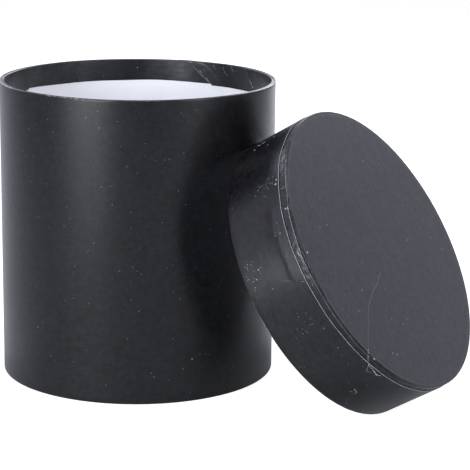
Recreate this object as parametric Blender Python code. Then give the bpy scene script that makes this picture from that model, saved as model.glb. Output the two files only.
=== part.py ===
"""Round flower box of paper-covered board, open, with its lid leaning against its side.

The box is a board tube with a board disc set into its foot. One sheet of black paper covers the
tube: it is turned under the foot and over the rim, where it ends in a hem on the inner wall. White
paper lines the wall below the hem, and the floor. The lid is a board ring closed by a board disc.
Its top sheet is turned down over the edge, and a strip round the side overlaps that skirt and is
turned over the open rim.

Lengths are metres and +Z is up. The origin is the centre of the underside of the box. The lid stands
on the lowest point of its open rim, on the +X side, and the top of that rim leans on the box.
"""
import math

import bmesh
import bpy
from mathutils import Vector

# Sizes of the box
BOX_RADIUS = 0.095
BOX_HEIGHT = 0.205
TUBE_WALL = 0.0018
BASE_THICKNESS = 0.0018
HEM_DEPTH = 0.0158
BASE_TURN = 0.012
BASE_COVER_MARGIN = 0.002

# Sizes of the lid
LID_HEIGHT = 0.048
LID_WALL = 0.0015
LID_TOP_THICKNESS = 0.0018
LID_HEM_DEPTH = 0.0158
SKIRT_SHOWN = 0.006
SKIRT_OVERLAP = 0.010
LID_CLEARANCE = 0.0007

# Paper, and the space left between glued layers
PAPER = 0.0003
SEAM = 0.0003

# How the lid leans
LEAN_ANGLE = math.radians(58.7)
LEAN_GAP = 0.0003

# Fineness of the round shapes
SEGMENTS = 72
FOLD_STEPS = 2
WELD_DISTANCE = 0.00001
SMOOTH_ANGLE = math.radians(30.0)

# A layer is one sheet of paper with the space behind it, and also the radius of a paper fold
LAYER = PAPER + SEAM

# Radii and heights of the box
TUBE_OUTER = BOX_RADIUS - LAYER
TUBE_INNER = TUBE_OUTER - TUBE_WALL
LINED_RADIUS = TUBE_INNER - LAYER
WRAP_FOOT = LAYER
BOARD_FOOT = WRAP_FOOT + LAYER
BASE_TOP = BOARD_FOOT + BASE_THICKNESS
FLOOR_TOP = BASE_TOP + LAYER

# Radii and heights of the lid, measured from its open rim
LID_LINED_RADIUS = BOX_RADIUS + LID_CLEARANCE
RING_INNER = LID_LINED_RADIUS + LAYER
RING_OUTER = RING_INNER + LID_WALL
SKIRT_RADIUS = RING_OUTER + LAYER
LID_RADIUS = SKIRT_RADIUS + LAYER
STRIP_TOP = LID_HEIGHT - SKIRT_SHOWN
TOP_BOARD_TOP = LID_HEIGHT - LAYER
TOP_BOARD_UNDERSIDE = TOP_BOARD_TOP - LID_TOP_THICKNESS
TOP_LINER_UNDERSIDE = TOP_BOARD_UNDERSIDE - LAYER


def clear_scene():
    """Remove whatever objects the file holds."""
    for thing in list(bpy.data.objects):
        bpy.data.objects.remove(thing, do_unlink=True)


def plain_material(name, colour, roughness):
    """A material with one colour, which is neither metallic nor clear."""
    material = bpy.data.materials.new(name)
    material.use_nodes = True
    shader = material.node_tree.nodes["Principled BSDF"]
    shader.inputs["Base Color"].default_value = (*colour, 1.0)
    shader.inputs["Roughness"].default_value = roughness
    shader.inputs["Metallic"].default_value = 0.0
    return material


def black_paper(name):
    """Satin black covering paper."""
    return plain_material(name, (0.030, 0.031, 0.035), 0.5)


def white_paper(name):
    """Matt white lining paper."""
    return plain_material(name, (0.80, 0.81, 0.86), 0.7)


def grey_board(name):
    """Bare grey board."""
    return plain_material(name, (0.30, 0.27, 0.23), 0.85)


def turned(name, outline, material):
    """Spin a section round the Z axis into one closed body.

    The outline is a loop of (radius, height) points. An edge that lies on the axis is left out,
    so that the points on the axis become the centres of the two flat faces.
    """
    mesh = bpy.data.meshes.new(name)
    shape = bmesh.new()
    corners = [shape.verts.new((radius, 0.0, height)) for radius, height in outline]
    edges = []
    for here, there in zip(corners, corners[1:] + corners[:1]):
        if here.co.x > 0.0 or there.co.x > 0.0:
            edges.append(shape.edges.new((here, there)))
    bmesh.ops.spin(shape, geom=corners + edges, cent=(0.0, 0.0, 0.0), axis=(0.0, 0.0, 1.0),
                   angle=math.tau, steps=SEGMENTS)
    bmesh.ops.remove_doubles(shape, verts=shape.verts, dist=WELD_DISTANCE)
    bmesh.ops.recalc_face_normals(shape, faces=shape.faces)
    shape.to_mesh(mesh)
    shape.free()
    mesh.shade_smooth()
    mesh.set_sharp_from_angle(angle=SMOOTH_ANGLE)
    mesh.materials.append(material)
    body = bpy.data.objects.new(name, mesh)
    bpy.context.collection.objects.link(body)
    return body


def block_section(inner, outer, foot, top):
    """Section of a ring with square edges, or of a disc where the inner radius is zero."""
    return [(inner, foot), (outer, foot), (outer, top), (inner, top)]


def sheet_section(path):
    """Section of a sheet of paper whose outer face follows the path and turns left at each corner.

    Each square corner of the path becomes an arc round the edge of the board behind the paper.
    """
    points = [Vector(point) for point in path]
    first_way = (points[1] - points[0]).normalized()
    last_way = (points[-1] - points[-2]).normalized()
    outer = [points[0]]
    inner = [points[0] + PAPER * left_of(first_way)]
    for before, corner, after in zip(points, points[1:], points[2:]):
        into = (corner - before).normalized()
        out = (after - corner).normalized()
        centre = corner + LAYER * (out - into)
        for step in range(FOLD_STEPS + 1):
            turn = 0.5 * math.pi * step / FOLD_STEPS
            spoke = math.sin(turn) * into - math.cos(turn) * out
            outer.append(centre + LAYER * spoke)
            inner.append(centre + SEAM * spoke)
    outer.append(points[-1])
    inner.append(points[-1] + PAPER * left_of(last_way))
    return [tuple(point) for point in outer + inner[::-1]]


def left_of(way):
    """The direction a quarter turn to the left."""
    return Vector((-way.y, way.x))


def make_box():
    """The six pieces of the box, standing on the origin."""
    turned("box_tube",
           block_section(TUBE_INNER, TUBE_OUTER, BOARD_FOOT, BOX_HEIGHT - LAYER),
           grey_board("box_tube_board"))
    turned("box_base_board",
           block_section(0.0, TUBE_INNER - SEAM, BOARD_FOOT, BASE_TOP),
           grey_board("box_base_board_board"))
    turned("box_side_wrap",
           sheet_section([(BOX_RADIUS - BASE_TURN, WRAP_FOOT),
                          (BOX_RADIUS, WRAP_FOOT),
                          (BOX_RADIUS, BOX_HEIGHT),
                          (LINED_RADIUS, BOX_HEIGHT),
                          (LINED_RADIUS, BOX_HEIGHT - HEM_DEPTH)]),
           black_paper("box_side_wrap_paper"))
    turned("box_base_cover",
           block_section(0.0, BOX_RADIUS - BASE_COVER_MARGIN, 0.0, PAPER),
           black_paper("box_base_cover_paper"))
    turned("box_wall_liner",
           block_section(LINED_RADIUS, LINED_RADIUS + PAPER,
                         BASE_TOP + SEAM, BOX_HEIGHT - HEM_DEPTH - SEAM),
           white_paper("box_wall_liner_paper"))
    turned("box_floor_liner",
           block_section(0.0, LINED_RADIUS - SEAM, BASE_TOP + SEAM, FLOOR_TOP),
           white_paper("box_floor_liner_paper"))


def make_lid():
    """The six pieces of the lid, with its open rim at height zero and its top upwards."""
    return [
        turned("lid_ring",
               block_section(RING_INNER, RING_OUTER, LAYER, TOP_BOARD_TOP),
               grey_board("lid_ring_board")),
        turned("lid_top_board",
               block_section(0.0, RING_INNER - SEAM, TOP_BOARD_UNDERSIDE, TOP_BOARD_TOP),
               grey_board("lid_top_board_board")),
        turned("lid_top_cover",
               sheet_section([(SKIRT_RADIUS, STRIP_TOP - SKIRT_OVERLAP),
                              (SKIRT_RADIUS, LID_HEIGHT),
                              (0.0, LID_HEIGHT)]),
               black_paper("lid_top_cover_paper")),
        turned("lid_side_wrap",
               sheet_section([(LID_LINED_RADIUS, LID_HEM_DEPTH),
                              (LID_LINED_RADIUS, 0.0),
                              (LID_RADIUS, 0.0),
                              (LID_RADIUS, STRIP_TOP)]),
               black_paper("lid_side_wrap_paper")),
        turned("lid_wall_liner",
               block_section(LID_LINED_RADIUS, LID_LINED_RADIUS + PAPER,
                             LID_HEM_DEPTH + SEAM, TOP_BOARD_UNDERSIDE - SEAM),
               white_paper("lid_wall_liner_paper")),
        turned("lid_top_liner",
               block_section(0.0, LID_LINED_RADIUS - SEAM,
                             TOP_LINER_UNDERSIDE, TOP_BOARD_UNDERSIDE - SEAM),
               white_paper("lid_top_liner_paper")),
    ]


def lean_lid(pieces):
    """Hang the lid on an empty at the centre of its open rim, tilted towards +X.

    The folded edge of the rim has a round section. Its lowest point meets the floor, and the point
    nearest to the box keeps the leaning gap to the wall.
    """
    reach = LID_RADIUS - LAYER
    lean_sine = math.sin(LEAN_ANGLE)
    lean_cosine = math.cos(LEAN_ANGLE)
    sideways = BOX_RADIUS + LEAN_GAP + reach * lean_cosine - LAYER * lean_sine + LAYER
    upwards = reach * lean_sine - LAYER * lean_cosine + LAYER
    place = bpy.data.objects.new("lid_place", None)
    place.location = (sideways, 0.0, upwards)
    place.rotation_euler = (0.0, LEAN_ANGLE, 0.0)
    bpy.context.collection.objects.link(place)
    for piece in pieces:
        piece.parent = place


clear_scene()
make_box()
lean_lid(make_lid())
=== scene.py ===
"""Looks of the round flower box: a tall box of paper-covered board, and its lid leaning beside it.

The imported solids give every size. Their paper is made again here as fine sheets, with the folds,
hems, creases, seams, cut tabs and worn edges of the real covering. The board inside stays as packed.

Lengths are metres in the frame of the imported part: +Z is up, and the origin is under the middle of
the box. A sheet is worked out on a grid, with rows along its section and columns round its axis.
Heights and radii are one column of numbers, angles are one row, and numpy spreads both over the
grid.
"""
import math

import bpy
import numpy as np
from mathutils import Matrix, Vector


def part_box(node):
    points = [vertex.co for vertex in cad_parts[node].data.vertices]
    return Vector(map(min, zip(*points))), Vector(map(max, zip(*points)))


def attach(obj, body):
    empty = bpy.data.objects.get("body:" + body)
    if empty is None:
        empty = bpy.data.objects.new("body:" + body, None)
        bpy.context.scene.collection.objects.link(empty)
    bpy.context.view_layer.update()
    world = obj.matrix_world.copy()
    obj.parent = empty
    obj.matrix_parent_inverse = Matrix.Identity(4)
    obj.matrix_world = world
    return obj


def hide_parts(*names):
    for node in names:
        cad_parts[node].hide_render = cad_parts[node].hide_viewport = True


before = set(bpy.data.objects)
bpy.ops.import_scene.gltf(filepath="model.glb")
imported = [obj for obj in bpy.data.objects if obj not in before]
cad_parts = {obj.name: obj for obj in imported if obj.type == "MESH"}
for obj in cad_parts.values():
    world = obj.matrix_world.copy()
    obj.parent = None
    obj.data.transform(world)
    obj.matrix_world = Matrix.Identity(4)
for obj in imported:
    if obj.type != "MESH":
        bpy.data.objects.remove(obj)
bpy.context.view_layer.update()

MM = 0.001

# The box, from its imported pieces
BOX_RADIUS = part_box("box_side_wrap")[1].x
BOX_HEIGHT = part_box("box_side_wrap")[1].z
WRAP_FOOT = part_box("box_side_wrap")[0].z
BASE_COVER_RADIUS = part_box("box_base_cover")[1].x
LINING_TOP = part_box("box_wall_liner")[1].z
FLOOR_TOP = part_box("box_floor_liner")[1].z

# Folds, the layers of paper, and how they meet at corners and edges
FOLD = 0.6 * MM
SHEET = 0.15 * MM
SHARP_EDGE = math.radians(50.0)
BOX_RIM = 3.0 * MM
BOX_BORE = BOX_RADIUS - BOX_RIM
BASE_TURN = 12.0 * MM
TUCK = 0.2 * MM
CUT_SLANT = 0.1 * MM
RIM_HOLLOW = 0.42 * MM
BEHIND_HEM = 0.2 * MM
TUCKED_EDGE = 1.2 * MM
CORNER_GAP = 0.1 * MM

# The hem inside the box, which is a little deeper on one side of its lap
HEM_END = LINING_TOP + 0.3 * MM
HEM_STEP = 1.1 * MM
LAP_WIDTH = 14.0 * MM
LAP_LIFT = 0.18 * MM
LAP_GROOVE = 0.25 * MM
LINING_LAP = 0.08 * MM
HEM_PUCKERS = 46
PLEAT_LIFT = 0.2 * MM
PLEAT_WIDTH = 0.6 * MM
PLEAT_GAP_DEPTH = 0.32 * MM
PLEAT_GAP_WIDTH = 0.45 * MM
TORN_WIDTH = 0.26 * MM

# How far inwards from the wall the specks on the rim's flat and on its outer fold lie
RIM_MIDDLE = 1.7 * MM
FOLD_MIDDLE = 0.3 * MM

# The lid, in its own frame: open rim at height zero, top upwards
LID_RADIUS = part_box("lid_side_wrap")[1].y
LID_HEIGHT = 48.0 * MM
LID_RIM = 3.3 * MM
LID_BORE = LID_RADIUS - LID_RIM
LID_HEM = 15.8 * MM
STRIP_TOP = 42.0 * MM
SKIRT_RADIUS = LID_RADIUS - FOLD
SKIRT_FOOT = 32.0 * MM
LID_CEILING = 45.0 * MM
LEAN = math.radians(58.7)
LEAN_GAP = 0.3 * MM

# Relief of the lid's strip, of its disc, and of the band between the strip and the top
RIM_PUCKERS = 40
TAB_LIFT = 0.22 * MM
TAB_VALLEY = 0.08 * MM
NOTCH_DEPTH = 0.35 * MM
PRESSED_RING = 96.4 * MM
PRESSED_WIDTH = 0.8 * MM
PRESSED_DEPTH = 0.05 * MM
RIDGE_LIFT = 0.18 * MM
RIDGE_WIDTH = 0.26 * MM
GROOVE_RISE = 0.9 * MM
GROOVE_LIMIT = 47.15 * MM
GROOVE_WIDTH = 0.30 * MM
TAB_EDGE_WIDTH = 0.2 * MM

# Widths of the marks on the band and of the hair, and how far below the top the hair is drawn
GLINT_WIDTH = 0.22 * MM
BAND_MARK_WIDTH = 0.17 * MM
HAIR_WIDTH = 0.40 * MM
HANGING_WIDTH = 0.25 * MM
LIGHT_SPOT_WIDTH = 0.5 * MM
HAIR_DROP = 0.3 * MM

# How the sheets are worked out
TURN_STEPS = 7200
RIPPLE_WAVES = 10
CALM_MIDDLE = 30.0 * MM
BACK_STEP = 4
SHEET_MARKS = ("worn", "scuffed", "dusty")


def lid_matrix():
    """Place of the leaning lid: its rim's lowest fold on the floor, its top fold near the wall."""
    reach = LID_RADIUS - FOLD
    sine = math.sin(LEAN)
    cosine = math.cos(LEAN)
    sideways = BOX_RADIUS + LEAN_GAP + reach * cosine - FOLD * sine + FOLD
    upwards = reach * sine - FOLD * cosine + FOLD
    return Matrix.Translation((sideways, 0.0, upwards)) @ Matrix.Rotation(LEAN, 4, "Y")


STANDING = Matrix.Identity(4)
LEANING = lid_matrix()


# Ramps, bells and waves

def smooth(low, high, value):
    """Zero below low, one above high, and an S-shaped ramp between them."""
    share = np.clip((value - low) / (high - low), 0.0, 1.0)
    return share * share * (3.0 - 2.0 * share)


def plateau(value, start, full, fading, end):
    """An S-shaped rise from start to full, one up to fading, and an S-shaped fall to the end."""
    return smooth(start, full, value) * (1.0 - smooth(fading, end, value))


def bell(value, middle, width):
    """A bell of height one round the middle, which falls to a third at one width."""
    return np.exp(-((value - middle) / width) ** 2)


def turn_apart(angles, place):
    """How far each angle is from a place on the circle, between minus and plus half a turn."""
    return (angles - place + math.pi) % math.tau - math.pi


def columns_round(count, places=(), reach=math.radians(3.0), gain=3.0):
    """Angles round the axis, closer together near the places.

    Their density is one plus a bell at each place, and the angles split its running sum evenly.
    """
    fine = np.linspace(-math.pi, math.pi, TURN_STEPS + 1)
    density = np.ones_like(fine)
    for place in places:
        density += gain * bell(turn_apart(fine, place), 0.0, reach)
    running = np.concatenate([[0.0], np.cumsum(0.5 * (density[1:] + density[:-1]))])
    return np.interp(np.arange(count) / count * running[-1], running, fine)


def even(count):
    """Shares from nought to one in even steps."""
    return np.linspace(0.0, 1.0, count + 1)


def crowded(count, start=1.0, end=1.0):
    """Shares from nought to one whose steps shrink to start and end times their middle size."""
    middle = np.linspace(-1.0, 1.0, count)
    steps = np.where(middle < 0.0, 1.0 + (start - 1.0) * middle ** 2, 1.0 + (end - 1.0) * middle ** 2)
    return np.concatenate([[0.0], np.cumsum(steps) / steps.sum()])


def ripple(angles, along, seed, size, turns, wave):
    """Soft unevenness of glued paper: a sum of slanted sine waves with seeded phases.

    Each wave goes a whole number of times round the axis, up to turns, and has a length along the
    section of at least wave. The waves share the size between them.
    """
    draw = np.random.default_rng(seed)
    total = np.zeros(np.broadcast(angles, along).shape)
    for _ in range(RIPPLE_WAVES):
        count = draw.integers(1, turns + 1)
        slope = draw.uniform(-1.0, 1.0) * math.tau / wave
        phase = draw.uniform(0.0, math.tau)
        total += np.sin(count * angles + slope * along + phase)
    return size * total / math.sqrt(RIPPLE_WAVES)


def disc_ripple(angles, radius, seed, size, turns, wave):
    """A ripple over a disc, which fades towards the middle, where the columns meet."""
    return ripple(angles, radius, seed, size, turns, wave) * smooth(0.0, CALM_MIDDLE, radius)


def beats(angles, middle, swing, fast, slow):
    """A middle value plus a swing times the product of two sine waves round the axis.

    Fast and slow are each given as (waves in a whole turn, phase).
    """
    return middle + swing * np.sin(fast[0] * angles + fast[1]) * np.sin(slow[0] * angles + slow[1])


def on_round(places, radius):
    """Specks given as (degrees, height, size, strength), with millimetres, set on a round wall."""
    specks = []
    for degrees, height, size, strength in places:
        turn = math.radians(degrees)
        place = (radius * math.cos(turn), radius * math.sin(turn), height * MM)
        specks.append((place, size * MM, strength))
    return specks


def laid_flat(places, radius):
    """Places given as (degrees, millimetres of height), laid out flat from a wall of this radius."""
    return [(math.radians(turn) * radius, height * MM) for turn, height in places]


def stroke(angles, along, places, radius, width):
    """One on a line through the places on a round wall, and a bell of the distance from it beside it.

    The wall is laid out flat, and each stretch of the line gives the distance to its nearest point.
    """
    across = angles * radius
    points = laid_flat(places, radius)
    nearest = np.full(np.broadcast(across, along).shape, 1.0)
    for (x0, y0), (x1, y1) in zip(points, points[1:]):
        dx, dy = x1 - x0, y1 - y0
        share = np.clip(((across - x0) * dx + (along - y0) * dy) / (dx * dx + dy * dy), 0.0, 1.0)
        nearest = np.minimum(nearest, np.hypot(across - x0 - share * dx, along - y0 - share * dy))
    return np.exp(-(nearest / width) ** 2)


def by_angle(angles, turns, values):
    """A value that runs straight between its values at the turns, which are given in degrees."""
    return np.interp(np.degrees(angles), turns, values)


# Sheets of paper

class Face:
    """The visible side of a folded sheet, as rows of (radius, height) with outward normals.

    The path runs straight between the corners and turns left through an arc of the fold's radius at
    each corner. The normal points to the right of the way. The zone counts the straights, with a
    half added on an arc.
    """

    def __init__(self, corners, spacings, fold=FOLD, fold_steps=6):
        corners = np.asarray(corners, float)
        ways = np.diff(corners, axis=0)
        ways /= np.linalg.norm(ways, axis=1)[:, None]
        rows, normals, zones = [], [], []
        for number, way in enumerate(ways):
            start = corners[number] + (fold * way if number else 0.0)
            end = corners[number + 1] - (fold * way if number < len(ways) - 1 else 0.0)
            shares = spacings[number][:, None]
            rows.append(start + shares * (end - start))
            normals.append(np.tile((way[1], -way[0]), (len(shares), 1)))
            zones.append(np.full(len(shares), float(number)))
            if number < len(ways) - 1:
                turn = 0.5 * math.pi * np.arange(1, fold_steps)[:, None] / fold_steps
                out = ways[number + 1]
                spoke = np.sin(turn) * way - np.cos(turn) * out
                rows.append(corners[number + 1] + fold * (out - way) + fold * spoke)
                normals.append(spoke)
                zones.append(np.full(len(turn), number + 0.5))
        self.rows = np.concatenate(rows)
        self.normals = np.concatenate(normals)
        self.zones = np.concatenate(zones)
        self.radius = self.rows[:, 0][:, None]
        self.height = self.rows[:, 1][:, None]
        self.zone = self.zones[:, None]

    def on_fold(self, zone):
        """Nought but on one fold, where it rises to one in the middle of the arc."""
        share = np.zeros(len(self.rows))
        found = self.zones == zone
        share[found] = np.sin(math.pi * np.arange(1, found.sum() + 1) / (found.sum() + 1))
        return share[:, None]

    def back_rows(self):
        """The rows kept on the hidden back: a few along each straight, and all at folds and ends."""
        turns = np.diff(self.zones) != 0.0
        kept = self.zones % 1.0 > 0.0
        kept[::BACK_STEP] = True
        kept[[0, -1]] = True
        kept[:-1] |= turns
        kept[1:] |= turns
        return kept


def new_object(name, data):
    """A new object with this data, linked into the scene."""
    made = bpy.data.objects.new(name, data)
    bpy.context.scene.collection.objects.link(made)
    return made


def grid_mesh(name, points, marks, pole):
    """A closed mesh from a grid of points, whose rows are a loop or run from pole to pole.

    Rows join their neighbours with quads and close round the axis. At a pole the whole row is one
    point, so it becomes one vertex with a fan of triangles. Each mark becomes a point attribute.
    """
    rows, columns = points.shape[:2]
    number = np.arange(rows * columns).reshape(rows, columns)
    if pole:
        number[0] = number[0, 0]
        number[-1] = number[-1, 0]
    below = number[:-1] if pole else number
    above = number[1:] if pole else np.roll(number, -1, axis=0)
    here = np.stack([below, np.roll(below, -1, axis=1), np.roll(above, -1, axis=1), above], axis=-1)
    kept, renumbered = np.unique(here.reshape(-1, 4), return_inverse=True)
    quads = renumbered.reshape(-1, 4)
    fan_low = quads[:, 0] == quads[:, 1]
    fan_high = quads[:, 2] == quads[:, 3]
    faces = quads[~(fan_low | fan_high)].tolist()
    faces += quads[fan_low][:, 1:].tolist() + quads[fan_high][:, :3].tolist()
    mesh = bpy.data.meshes.new(name)
    mesh.from_pydata(points.reshape(-1, 3)[kept], [], faces)
    for mark, values in marks.items():
        attribute = mesh.attributes.new(mark, "FLOAT", "POINT")
        attribute.data.foreach_set("value", values.reshape(-1)[kept].astype(np.float32))
    mesh.validate()
    return mesh


def paper_sheet(name, place, face, angles, lift, bevels=(0.0, 0.0), slide=0.0, **marks):
    """A sheet of paper turned round the axis.

    Its visible face is the section moved along its normals by the lift and along its way by the
    slide. Its back lies one sheet behind, and a bevel draws the back out past the face at that end,
    so that the pale inside of the paper shows along the cut. Marks of wear, and of painted light,
    are given by their names.
    """
    shape = (len(face.rows), len(angles))
    lift = np.broadcast_to(lift, shape)[..., None]
    slide = np.broadcast_to(slide, shape)[..., None]
    ways = np.stack([-face.normals[:, 1], face.normals[:, 0]], axis=1)
    front = face.rows[:, None, :] + lift * face.normals[:, None, :] + slide * ways[:, None, :]
    back = front - SHEET * face.normals[:, None, :]
    pole_first = face.rows[0, 0] == 0.0
    pole_last = face.rows[-1, 0] == 0.0
    cut = np.zeros(shape)
    if not pole_first:
        back[0] -= bevels[0] * ways[0]
        cut[0] = 1.0
    if not pole_last:
        back[-1] += bevels[1] * ways[-1]
        cut[-1] = 1.0
    kept = face.back_rows()

    def joined(front_rows, back_rows):
        """Front and back as one way round the sheet, from pole to pole if it has one."""
        if pole_last:
            return np.concatenate([front_rows[::-1], back_rows])
        return np.concatenate([front_rows, back_rows[::-1]])

    whole = joined(front, back[kept])
    whole_marks = {}
    for mark in SHEET_MARKS:
        values = np.clip(np.broadcast_to(marks.get(mark, 0.0), shape), 0.0, 1.0)
        behind = cut if mark == "worn" else np.zeros(shape)
        whole_marks[mark] = joined(values, behind[kept])
    radius, height = whole[..., 0], whole[..., 1]
    points = np.stack([radius * np.cos(angles), radius * np.sin(angles), height], axis=-1)
    mesh = grid_mesh(name, points, whole_marks, pole_first or pole_last)
    mesh.transform(place)
    if signed_volume(mesh) < 0.0:
        mesh.flip_normals()
    mesh.shade_smooth()
    mesh.set_sharp_from_angle(angle=SHARP_EDGE)
    return new_object(name, mesh)


def signed_volume(mesh):
    """Six times the volume, as the sum over triangles of a . (b x c), positive if faces point out."""
    corners = np.zeros(len(mesh.vertices) * 3)
    mesh.vertices.foreach_get("co", corners)
    mesh.calc_loop_triangles()
    threes = np.zeros(len(mesh.loop_triangles) * 3, int)
    mesh.loop_triangles.foreach_get("vertices", threes)
    a, b, c = corners.reshape(-1, 3)[threes.reshape(-1, 3)].transpose(1, 0, 2)
    return np.einsum("ij,ij->i", a, np.cross(b, c)).sum()


# Materials

class Nodes:
    """A node tree written as calls, where each call makes one node and gives its output."""

    def __init__(self, tree):
        self.tree = tree
        tree.nodes.clear()

    def add(self, kind, output=0, settings=None, **sockets):
        """Add a node, set its properties, and feed or link its inputs.

        An input is given by its name, with _ for a blank, or as i and its number.
        """
        node = self.tree.nodes.new(kind)
        for key, value in (settings or {}).items():
            setattr(node, key, value)
        for key, value in sockets.items():
            key = key.replace("_", " ")
            socket = node.inputs[int(key[1:])] if key[1:].isdigit() else node.inputs[key]
            if isinstance(value, bpy.types.NodeSocket):
                self.tree.links.new(value, socket)
            else:
                socket.default_value = value
        return node.outputs[output]

    def math(self, operation, first, second=0.0):
        """The sum, product or other operation of two numbers."""
        return self.add("ShaderNodeMath", settings={"operation": operation}, i0=first, i1=second)

    def vector(self, operation, first, second, output=0):
        """The sum, product, distance or other operation of two vectors."""
        return self.add("ShaderNodeVectorMath", output=output, settings={"operation": operation},
                        i0=first, i1=second)

    def ramp(self, value, low, high, out_low=0.0, out_high=1.0):
        """An S-shaped ramp of a number from one range to another."""
        return self.add("ShaderNodeMapRange", settings={"interpolation_type": "SMOOTHSTEP"},
                        Value=value, From_Min=low, From_Max=high, To_Min=out_low, To_Max=out_high)

    def noise(self, vector, scale, detail=2.0, roughness=0.5):
        """Soft noise between nought and one."""
        return self.add("ShaderNodeTexNoise", Vector=vector, Scale=scale, Detail=detail,
                        Roughness=roughness)

    def mix(self, share, first, second):
        """A blend of two colours."""
        return self.add("ShaderNodeMix", output=2, settings={"data_type": "RGBA"},
                        i0=share, i6=first, i7=second)

    def laid_over(self, tint, share, strength, colour):
        """A colour over a tint where a share is high, at most at this strength."""
        return self.mix(self.math("MULTIPLY", share, strength), tint, colour)

    def mark(self, name):
        """A point attribute of the sheet."""
        return self.add("ShaderNodeAttribute", output="Fac", settings={"attribute_name": name})

    def specks(self, spot, scale, bar, size, more=0.0):
        """Round specks at the seeds of Voronoi cells.

        A cell has a speck when its random number, with more added, passes the bar, and the speck
        grows with it up to size as its radius.
        """
        cells = self.add("ShaderNodeTexVoronoi", Vector=spot, Scale=scale).node
        pick = self.add("ShaderNodeSeparateColor", Color=cells.outputs["Color"])
        reach = self.ramp(self.math("ADD", pick, more), bar, 1.0, 0.0, size * scale)
        return self.math("LESS_THAN", cells.outputs["Distance"], reach)

    def flecks(self, spot, places):
        """The strongest of the specks at the places, each a ball of its size with a soft edge."""
        total = 0.0
        for place, size, strength in places:
            gap = self.vector("DISTANCE", spot, place, output="Value")
            total = self.math("MAXIMUM", total, self.ramp(gap, 0.0, size, strength, 0.0))
        return total

    def surface(self, tint, rough, height, strength, depth, **sockets):
        """The material's surface, with a bump of this strength and depth from the height."""
        bump = self.add("ShaderNodeBump", Strength=strength, Distance=depth, Height=height)
        self.finish(self.add("ShaderNodeBsdfPrincipled", Base_Color=tint, Roughness=rough,
                             Normal=bump, **sockets))

    def finish(self, shader, kind="ShaderNodeOutputMaterial"):
        """Link a shader to the tree's output."""
        output = self.tree.nodes.new(kind)
        self.tree.links.new(shader, output.inputs["Surface"])


def new_material(name):
    """A material with an empty node tree."""
    material = bpy.data.materials.new(name)
    material.use_nodes = True
    return material, Nodes(material.node_tree)


def grey(level, blue=0.0):
    """An opaque grey that leans to blue."""
    return (level * (1.0 - 0.5 * blue), level * (1.0 - 0.4 * blue), level * (1.0 + blue), 1.0)


# Tints and gloss of the papers and the board. A share says how much of its tint shows.
INK_BLUE = 0.3
DEEPEST_INK = grey(0.0001, INK_BLUE)
# The scuff tint also serves as painted light on the hem, the lid's side and the disc.
SCUFF_AND_LIGHT_INK = grey(0.42, 0.09)
PALE_FILM = grey(0.42, 0.12)
FILM_SHARE = 0.005
PALE_HAIR = grey(0.5, 0.04)
HAIR_SHARE = 0.15
FINE_DUST = grey(0.30, 0.03)
FINE_DUST_SHARE = 0.38
COARSE_DUST = grey(0.32, 0.03)
COARSE_DUST_SHARE = 0.4
WHITE_FLECK = grey(0.76, 0.03)
# The tint of the paper's pale inside, also used for painted highlights and a painted reflection.
CORE_AND_HIGHLIGHT_TINT = grey(0.36, 0.02)
CORE_ROUGHNESS = 0.8
COVERING_IOR = 1.36
LINING_SHADE = (0.84, 0.845, 0.88, 1.0)
LINING_LIGHT = (0.89, 0.895, 0.93, 1.0)
LINING_IOR = 1.45
TOOTH_STRENGTH = 0.3
TOOTH_DEPTH = 0.1 * MM
BOARD_SHADE = (0.27, 0.24, 0.20, 1.0)
BOARD_LIGHT = (0.34, 0.31, 0.26, 1.0)
BOARD_FLECK = (0.12, 0.10, 0.08, 1.0)
FELT_STRENGTH = 0.4
FELT_DEPTH = 0.2 * MM


def hair_cover(nodes, spot, points, width):
    """How much a hair covers: one within the width of a curve through (along, across) points.

    Along is the negative of the second coordinate, across is the first, both in metres, and the
    curve is held by a Float Curve whose two ranges are the points' own.
    """
    split = nodes.add("ShaderNodeSeparateXYZ", Vector=spot).node
    first, last = points[0][0], points[-1][0]
    low, high = points[0][1], points[-1][1]
    along = nodes.math("MULTIPLY", split.outputs["Y"], -1.0)
    share = nodes.add("ShaderNodeMapRange", Value=along, From_Min=first, From_Max=last)
    curve = nodes.add("ShaderNodeFloatCurve", Value=share)
    line = curve.node.mapping.curves[0]
    line.points[0].location = (0.0, 0.0)
    line.points[1].location = (1.0, 1.0)
    for along_here, across_here in points[1:-1]:
        line.points.new((along_here - first) / (last - first), (across_here - low) / (high - low))
    curve.node.mapping.update()
    across = nodes.add("ShaderNodeMapRange", Value=curve, To_Min=low, To_Max=high)
    gap = nodes.math("ABSOLUTE", nodes.math("SUBTRACT", split.outputs["X"], across))
    near = nodes.ramp(gap, 0.0, width, 1.0, 0.0)
    started = nodes.math("GREATER_THAN", along, first)
    on_top = nodes.math("GREATER_THAN", split.outputs["Z"], LID_HEIGHT - HAIR_DROP)
    return nodes.math("MULTIPLY", near, nodes.math("MULTIPLY", started, on_top))


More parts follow.
